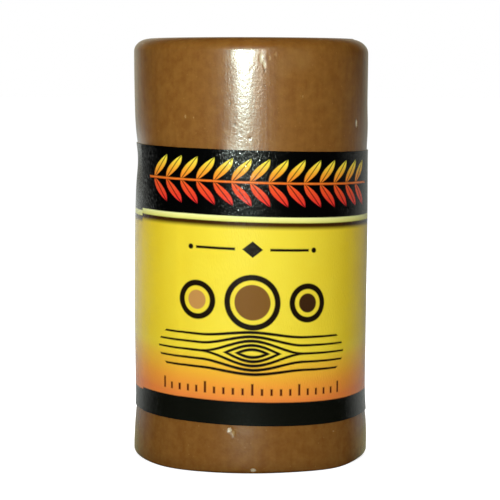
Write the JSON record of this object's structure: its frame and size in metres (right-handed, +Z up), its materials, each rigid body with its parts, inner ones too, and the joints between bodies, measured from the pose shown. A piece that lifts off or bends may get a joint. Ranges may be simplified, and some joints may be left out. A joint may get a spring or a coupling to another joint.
{
  "type": "furniture repair wax stick",
  "caption": "Stubby upright cylinder of soft brown filler wax with a wrapped film label, cut or rubbed off to fill scratches and dents in furniture.",
  "frame": {"origin": "centre of the flat base on which the stick stands", "axes": "+Z up along the stick's axis, -Y out of the front of the label, +X to the viewer's right from the front"},
  "size_m": [0.0256, 0.0256, 0.0453],
  "materials": {
    "filler_wax": "satin moulded soft wax, caramel brown",
    "label_film": "gloss printed self-adhesive film, yellow field between black bands"
  },
  "bodies": {
    "root": {"wax_stick": "filler_wax", "wrap_label": "label_film"}
  },
  "joints": []
}
